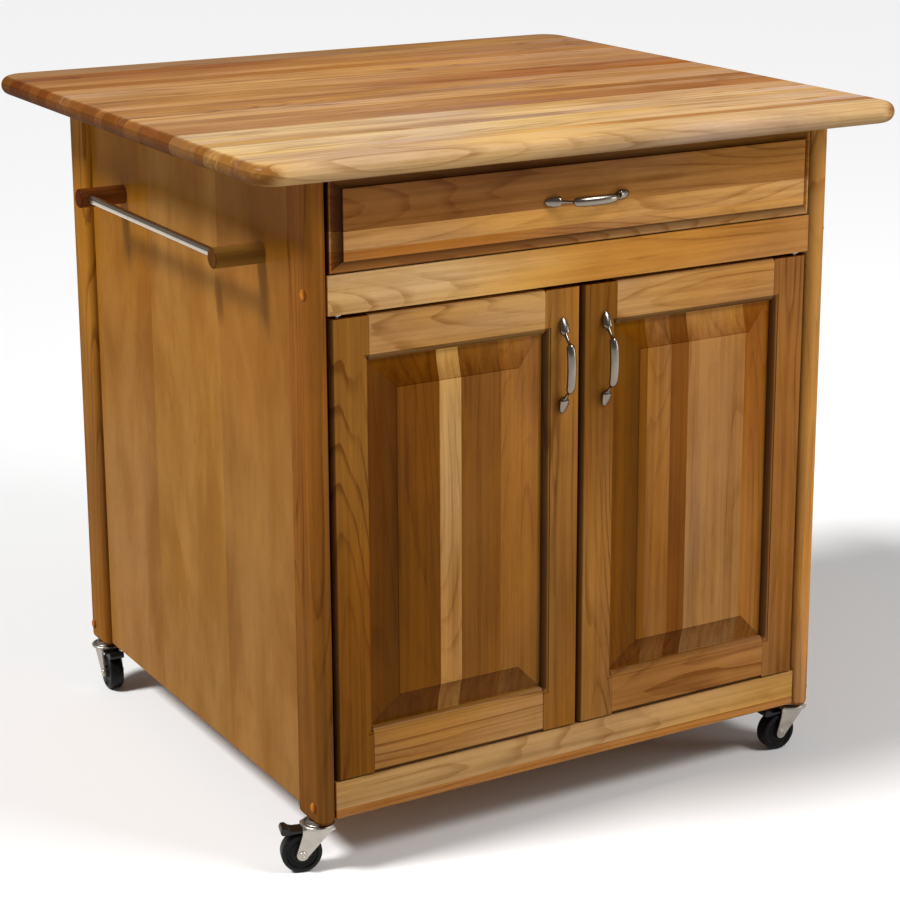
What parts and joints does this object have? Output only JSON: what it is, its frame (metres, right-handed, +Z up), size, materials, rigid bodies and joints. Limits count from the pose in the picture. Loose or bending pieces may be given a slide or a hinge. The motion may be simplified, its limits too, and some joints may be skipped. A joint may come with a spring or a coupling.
{
  "type": "butcher block kitchen island cart",
  "caption": "Kitchen island cart with a butcher block worktop over a drawer and two raised-panel doors, a side towel bar and braked swivel casters.",
  "frame": {"origin": "on the floor under the centre of the worktop", "axes": "+Z up, -Y towards the front with the drawer and the doors, +X towards the right end seen from the front"},
  "size_m": [0.914, 0.847, 0.89],
  "materials": {
    "butcher_block": "oiled birch butcher block in glued staves of mixed tone",
    "hardwood": "satin lacquered birch, honey brown",
    "veneer": "satin lacquered rotary-cut birch veneer",
    "satin_nickel": "satin nickel plate",
    "chrome_rod": "polished chrome plate",
    "zinc_plate": "bright zinc plate",
    "black_rubber": "black moulded rubber",
    "black_plastic": "black moulded plastic",
    "white_epoxy": "white epoxy coated steel",
    "nylon": "natural nylon"
  },
  "bodies": {
    "cabinet": {"worktop": "butcher_block", "post_front_left": "hardwood", "post_front_right": "hardwood", "post_rear_left": "hardwood", "post_rear_right": "hardwood", "side_panel_left": "veneer", "side_panel_right": "veneer", "back_panel": "veneer", "front_mid_rail": "hardwood", "front_bottom_rail": "hardwood", "rear_bottom_rail": "hardwood", "floor_panel": "veneer", "shelf": "veneer", "drawer_runner_left": "white_epoxy", "drawer_runner_right": "white_epoxy", "towel_bar_holder_front": "hardwood", "towel_bar_holder_rear": "hardwood", "towel_bar_rod": "chrome_rod", "door_left_pin_top": "zinc_plate", "door_left_pin_bottom": "zinc_plate", "door_right_pin_top": "zinc_plate", "door_right_pin_bottom": "zinc_plate", "caster_front_left_stem": "zinc_plate", "caster_front_right_stem": "zinc_plate", "caster_rear_left_stem": "zinc_plate", "caster_rear_right_stem": "zinc_plate"},
    "drawer": {"drawer_front": "hardwood", "drawer_side_left": "hardwood", "drawer_side_right": "hardwood", "drawer_back": "hardwood", "drawer_bottom": "veneer", "drawer_pull": "satin_nickel"},
    "door_left": {"door_left_hinge_stile": "hardwood", "door_left_latch_stile": "hardwood", "door_left_top_rail": "hardwood", "door_left_bottom_rail": "hardwood", "door_left_raised_panel": "hardwood", "door_left_pull": "satin_nickel", "door_left_bush_top": "nylon", "door_left_bush_bottom": "nylon"},
    "door_right": {"door_right_hinge_stile": "hardwood", "door_right_latch_stile": "hardwood", "door_right_top_rail": "hardwood", "door_right_bottom_rail": "hardwood", "door_right_raised_panel": "hardwood", "door_right_pull": "satin_nickel", "door_right_bush_top": "nylon", "door_right_bush_bottom": "nylon"},
    "caster_front_left_swivel": {"caster_front_left_fork": "zinc_plate"},
    "caster_front_left_wheel": {"caster_front_left_wheel": "black_rubber"},
    "caster_front_left_brake": {"caster_front_left_brake": "black_plastic"},
    "caster_front_right_swivel": {"caster_front_right_fork": "zinc_plate"},
    "caster_front_right_wheel": {"caster_front_right_wheel": "black_rubber"},
    "caster_front_right_brake": {"caster_front_right_brake": "black_plastic"},
    "caster_rear_left_swivel": {"caster_rear_left_fork": "zinc_plate"},
    "caster_rear_left_wheel": {"caster_rear_left_wheel": "black_rubber"},
    "caster_rear_left_brake": {"caster_rear_left_brake": "black_plastic"},
    "caster_rear_right_swivel": {"caster_rear_right_fork": "zinc_plate"},
    "caster_rear_right_wheel": {"caster_rear_right_wheel": "black_rubber"},
    "caster_rear_right_brake": {"caster_rear_right_brake": "black_plastic"}
  },
  "joints": [
    {"name": "drawer_slide", "type": "slide", "parent": "cabinet", "child": "drawer", "axis": [0, -1, 0], "range_m": [0, 0.38]},
    {"name": "door_left_hinge", "type": "hinge", "parent": "cabinet", "child": "door_left", "pos_m": [-0.3311, -0.36, 0.4065], "axis": [0, 0, -1], "range_deg": [0, 115]},
    {"name": "door_right_hinge", "type": "hinge", "parent": "cabinet", "child": "door_right", "pos_m": [0.3311, -0.36, 0.4065], "axis": [0, 0, 1], "range_deg": [0, 115]},
    {"name": "caster_front_left_swivel", "type": "hinge", "parent": "cabinet", "child": "caster_front_left_swivel", "pos_m": [-0.3603, -0.3455, 0.06], "axis": [0, 0, 1], "continuous": true},
    {"name": "caster_front_left_spin", "type": "hinge", "parent": "caster_front_left_swivel", "child": "caster_front_left_wheel", "pos_m": [-0.38086, -0.33921, 0.0254], "axis": [0.2924, 0.9563, 0], "continuous": true},
    {"name": "caster_front_left_brake_pedal", "type": "hinge", "parent": "caster_front_left_swivel", "child": "caster_front_left_brake", "pos_m": [-0.37417, -0.34126, 0.0545], "axis": [-0.2924, -0.9563, 0], "range_deg": [0, 9]},
    {"name": "caster_front_right_swivel", "type": "hinge", "parent": "cabinet", "child": "caster_front_right_swivel", "pos_m": [0.3603, -0.3455, 0.06], "axis": [0, 0, 1], "continuous": true},
    {"name": "caster_front_right_spin", "type": "hinge", "parent": "caster_front_right_swivel", "child": "caster_front_right_wheel", "pos_m": [0.3388, -0.3455, 0.0254], "axis": [0, 1, 0], "continuous": true},
    {"name": "caster_front_right_brake_pedal", "type": "hinge", "parent": "caster_front_right_swivel", "child": "caster_front_right_brake", "pos_m": [0.3458, -0.3455, 0.0545], "axis": [0, -1, 0], "range_deg": [0, 9]},
    {"name": "caster_rear_left_swivel", "type": "hinge", "parent": "cabinet", "child": "caster_rear_left_swivel", "pos_m": [-0.3603, 0.3365, 0.06], "axis": [0, 0, 1], "continuous": true},
    {"name": "caster_rear_left_spin", "type": "hinge", "parent": "caster_rear_left_swivel", "child": "caster_rear_left_wheel", "pos_m": [-0.3618, 0.31505, 0.0254], "axis": [-0.9976, 0.0698, 0], "continuous": true},
    {"name": "caster_rear_left_brake_pedal", "type": "hinge", "parent": "caster_rear_left_swivel", "child": "caster_rear_left_brake", "pos_m": [-0.36131, 0.32204, 0.0545], "axis": [0.9976, -0.0698, 0], "range_deg": [0, 9]},
    {"name": "caster_rear_right_swivel", "type": "hinge", "parent": "cabinet", "child": "caster_rear_right_swivel", "pos_m": [0.3603, 0.3365, 0.06], "axis": [0, 0, 1], "continuous": true},
    {"name": "caster_rear_right_spin", "type": "hinge", "parent": "caster_rear_right_swivel", "child": "caster_rear_right_wheel", "pos_m": [0.37892, 0.32575, 0.0254], "axis": [-0.5, -0.866, 0], "continuous": true},
    {"name": "caster_rear_right_brake_pedal", "type": "hinge", "parent": "caster_rear_right_swivel", "child": "caster_rear_right_brake", "pos_m": [0.37286, 0.32925, 0.0545], "axis": [0.5, 0.866, 0], "range_deg": [0, 9]}
  ]
}
